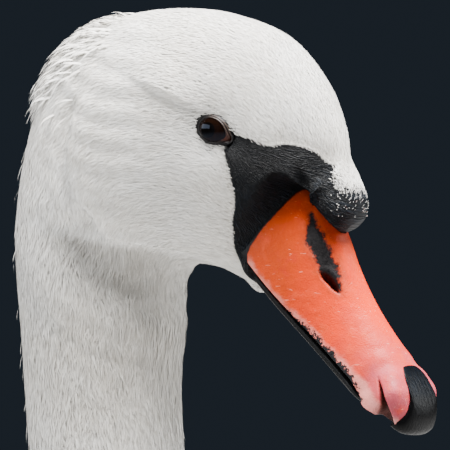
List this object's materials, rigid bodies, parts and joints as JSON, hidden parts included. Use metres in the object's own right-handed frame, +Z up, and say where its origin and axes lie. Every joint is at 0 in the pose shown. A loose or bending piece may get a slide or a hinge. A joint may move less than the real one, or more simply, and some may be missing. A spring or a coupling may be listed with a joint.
{
  "type": "mute swan",
  "caption": "Life-size adult mute swan resting on its belly, neck raised in an S, orange bill with black knob held low, wings folded, feet at its sides.",
  "frame": {"origin": "on the floor under the middle of the bird's own box", "axes": "+X ahead along the bird, +Y to the bird's left, +Z up from the floor that the belly rests on"},
  "size_m": [0.8512, 0.3858, 0.7534],
  "materials": {
    "plumage": "soft white feathers",
    "bare_skin": "black skin, slightly moist",
    "orange_bill": "smooth satin horn skin, salmon to pink at the tip",
    "black_horn": "glossy black horn",
    "eye": "wet, very glossy dark brown",
    "leg_skin": "scaly dark grey skin"
  },
  "bodies": {
    "root": {"head": "plumage", "neck_upper": "plumage", "neck_middle": "plumage", "neck_lower": "plumage", "trunk": "plumage", "wing_left": "plumage", "wing_right": "plumage", "tail": "plumage", "knob": "bare_skin", "bill_upper": "orange_bill", "bill_lower": "black_horn", "bill_nail": "black_horn", "eye_left": "eye", "eye_right": "eye", "leg_left": "leg_skin", "leg_right": "leg_skin", "foot_left": "leg_skin", "foot_right": "leg_skin", "claw_1_left": "black_horn", "claw_1_right": "black_horn", "claw_2_left": "black_horn", "claw_2_right": "black_horn", "claw_3_left": "black_horn", "claw_3_right": "black_horn"}
  },
  "joints": []
}
